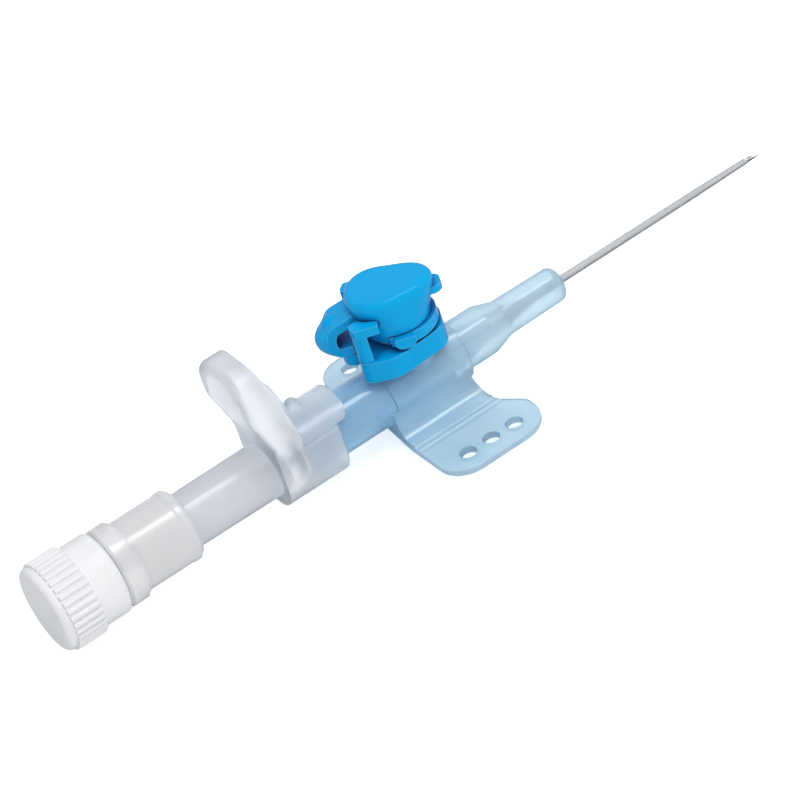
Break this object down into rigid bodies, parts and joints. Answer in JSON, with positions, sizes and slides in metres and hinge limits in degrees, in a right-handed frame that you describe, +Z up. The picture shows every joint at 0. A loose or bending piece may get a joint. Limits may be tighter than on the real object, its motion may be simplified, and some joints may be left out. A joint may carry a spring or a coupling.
{
  "type": "intravenous cannula",
  "caption": "Winged over-the-needle intravenous cannula with an injection port, hinged port cap, thumb grip and flash chamber with luer cap.",
  "frame": {"origin": "centre of the catheter hub's luer mouth, on the needle's axis", "axes": "+X along the needle to its tip, +Z up out of the injection port, +Y across the wings"},
  "size_m": [0.0912, 0.028, 0.0188],
  "materials": {
    "hub_blue_translucent": "translucent polypropylene, gloss",
    "catheter_polymer": "clear fluoropolymer tube",
    "steel": "polished stainless steel",
    "valve_silicone": "milky silicone",
    "cap_blue": "opaque blue, semi-gloss",
    "needle_hub_translucent": "translucent, colourless, gloss",
    "filter_white": "sintered porous disc",
    "luer_cap_white": "opaque white, satin"
  },
  "bodies": {
    "cannula": {"catheter_hub": "hub_blue_translucent", "catheter_tube": "catheter_polymer", "catheter_ferrule": "steel", "port_valve": "valve_silicone"},
    "cap_collar": {"port_ring": "cap_blue", "lid_strap": "cap_blue"},
    "cap_lid": {"port_lid": "cap_blue"},
    "needle_set": {"steel_needle": "steel", "needle_hub": "needle_hub_translucent", "flash_plug": "needle_hub_translucent", "flash_filter": "filter_white"},
    "cap": {"luer_cap": "luer_cap_white"}
  },
  "joints": [
    {"name": "needle_withdraw", "type": "slide", "parent": "cannula", "child": "needle_set", "axis": [-1, 0, 0], "range_m": [0, 0.065]},
    {"name": "luer_cap_pull", "type": "slide", "parent": "needle_set", "child": "cap", "axis": [-1, 0, 0], "range_m": [0, 0.01]},
    {"name": "port_cap_swivel", "type": "hinge", "parent": "cannula", "child": "cap_collar", "pos_m": [0.0154, 0, 0.005], "axis": [0, 0, 1], "continuous": true},
    {"name": "port_lid_hinge", "type": "hinge", "parent": "cap_collar", "child": "cap_lid", "pos_m": [0.00929, 0.00298, 0.0072], "axis": [-0.4384, -0.8988, 0], "range_deg": [0, 110], "deforming": ["lid_strap"]}
  ]
}
